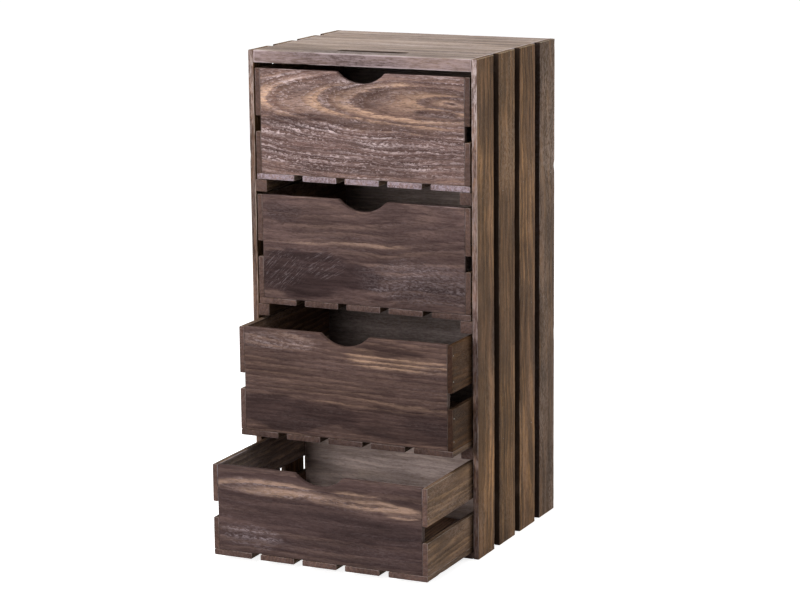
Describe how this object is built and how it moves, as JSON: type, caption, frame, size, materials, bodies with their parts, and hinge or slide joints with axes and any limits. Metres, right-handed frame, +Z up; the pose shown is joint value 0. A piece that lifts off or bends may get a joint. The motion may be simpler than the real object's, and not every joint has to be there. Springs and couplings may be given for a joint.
{
  "type": "chest of drawers",
  "caption": "Narrow slatted wooden chest whose crate-like drawers slide on square runners, with arched finger cut-outs and a carrying slot in the top board.",
  "frame": {"origin": "on the floor, in the middle of the space that the chest takes up with two drawers drawn out", "axes": "+Z up, -Y out of the front, the way the drawers open, +X to the right for someone facing the front"},
  "size_m": [0.36, 0.443, 0.722],
  "materials": {
    "side_wood": "brushed, brown stain",
    "chest_wood": "brushed, brown stain",
    "front_wood": "brushed, mauve-brown stain with light worn grain",
    "crate_wood": "brushed, brown stain",
    "panel_wood": "plain brown stain"
  },
  "bodies": {
    "chest": {"left_side_slat_1": "side_wood", "left_side_slat_2": "side_wood", "left_side_slat_3": "side_wood", "left_side_slat_4": "side_wood", "right_side_slat_1": "side_wood", "right_side_slat_2": "side_wood", "right_side_slat_3": "side_wood", "right_side_slat_4": "side_wood", "top_board": "chest_wood", "back_panel": "panel_wood", "left_runner_1": "chest_wood", "left_runner_2": "chest_wood", "left_runner_3": "chest_wood", "left_runner_4": "chest_wood", "right_runner_1": "chest_wood", "right_runner_2": "chest_wood", "right_runner_3": "chest_wood", "right_runner_4": "chest_wood"},
    "drawer_1": {"drawer_1_front": "front_wood", "drawer_1_rear": "crate_wood", "drawer_1_left_upper_slat": "crate_wood", "drawer_1_left_lower_slat": "crate_wood", "drawer_1_right_upper_slat": "crate_wood", "drawer_1_right_lower_slat": "crate_wood", "drawer_1_bottom_left_slat": "crate_wood", "drawer_1_bottom_middle_slats": "crate_wood", "drawer_1_bottom_right_slat": "crate_wood"},
    "drawer_2": {"drawer_2_front": "front_wood", "drawer_2_rear": "crate_wood", "drawer_2_left_upper_slat": "crate_wood", "drawer_2_left_lower_slat": "crate_wood", "drawer_2_right_upper_slat": "crate_wood", "drawer_2_right_lower_slat": "crate_wood", "drawer_2_bottom_left_slat": "crate_wood", "drawer_2_bottom_middle_slats": "crate_wood", "drawer_2_bottom_right_slat": "crate_wood"},
    "drawer_3": {"drawer_3_front": "front_wood", "drawer_3_rear": "crate_wood", "drawer_3_left_upper_slat": "crate_wood", "drawer_3_left_lower_slat": "crate_wood", "drawer_3_right_upper_slat": "crate_wood", "drawer_3_right_lower_slat": "crate_wood", "drawer_3_bottom_left_slat": "crate_wood", "drawer_3_bottom_middle_slats": "crate_wood", "drawer_3_bottom_right_slat": "crate_wood"},
    "drawer_4": {"drawer_4_front": "front_wood", "drawer_4_rear": "crate_wood", "drawer_4_left_upper_slat": "crate_wood", "drawer_4_left_lower_slat": "crate_wood", "drawer_4_right_upper_slat": "crate_wood", "drawer_4_right_lower_slat": "crate_wood", "drawer_4_bottom_left_slat": "crate_wood", "drawer_4_bottom_middle_slats": "crate_wood", "drawer_4_bottom_right_slat": "crate_wood"}
  },
  "joints": [
    {"name": "drawer_1_slide", "type": "slide", "parent": "chest", "child": "drawer_1", "axis": [0, -1, 0], "range_m": [0, 0.21]},
    {"name": "drawer_2_slide", "type": "slide", "parent": "chest", "child": "drawer_2", "axis": [0, -1, 0], "range_m": [0, 0.21]},
    {"name": "drawer_3_slide", "type": "slide", "parent": "chest", "child": "drawer_3", "axis": [0, -1, 0], "range_m": [-0.064, 0.146]},
    {"name": "drawer_4_slide", "type": "slide", "parent": "chest", "child": "drawer_4", "axis": [0, -1, 0], "range_m": [-0.152, 0.058]}
  ]
}
